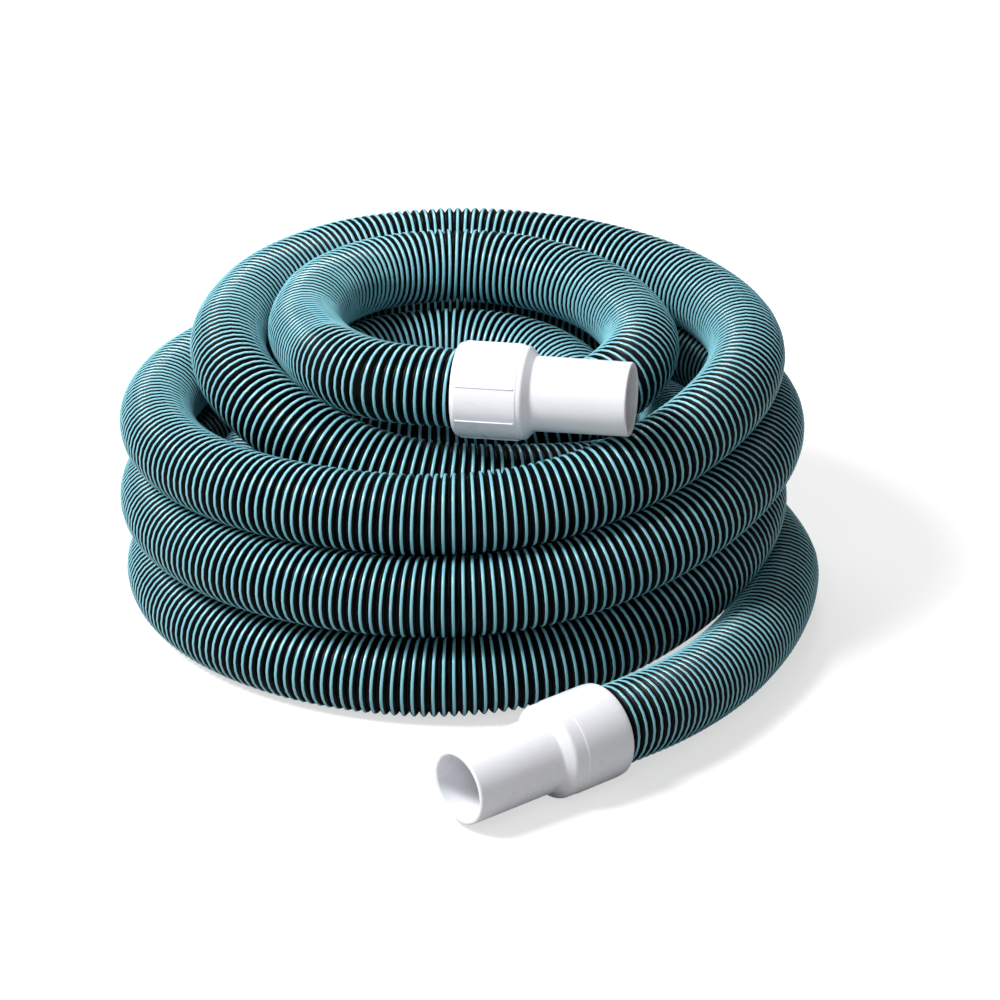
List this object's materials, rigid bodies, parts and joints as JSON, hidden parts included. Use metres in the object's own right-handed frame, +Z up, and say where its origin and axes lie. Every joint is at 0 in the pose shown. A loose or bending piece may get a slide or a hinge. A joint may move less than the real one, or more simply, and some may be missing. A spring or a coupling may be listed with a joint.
{
  "type": "pool vacuum hose",
  "caption": "Coiled spiral-wound vacuum hose for cleaning a pool by hand, with a fixed cuff on one end and a swivel cuff on the other.",
  "frame": {"origin": "on the floor, below the middle of the whole object", "axes": "+Z up through the coil, +Y from the free end in front towards the back"},
  "size_m": [0.4386, 0.5678, 0.2118],
  "materials": {
    "hose": "glossy black EVA",
    "rib": "satin teal",
    "cuff": "white moulded plastic",
    "insert": "white moulded plastic",
    "retainer": "natural plastic",
    "seal": "black rubber"
  },
  "bodies": {
    "hose": {"hose_coil": "hose", "hose_tail": "hose", "hose_upper_turn": "hose", "hose_top_loop": "hose", "hose_end_fixed": "hose", "hose_end_swivel": "hose", "rib_end_fixed": "rib", "rib_end_swivel": "rib", "fixed_cuff": "cuff", "swivel_insert": "insert", "swivel_seal": "seal"},
    "swivel_cuff": {"swivel_shell": "cuff", "swivel_retainer": "retainer"}
  },
  "joints": [
    {"name": "cuff_swivel", "type": "hinge", "parent": "hose", "child": "swivel_cuff", "pos_m": [0.05966, -0.21499, 0.0294], "axis": [-0.783, -0.6205, -0.0436], "continuous": true}
  ]
}
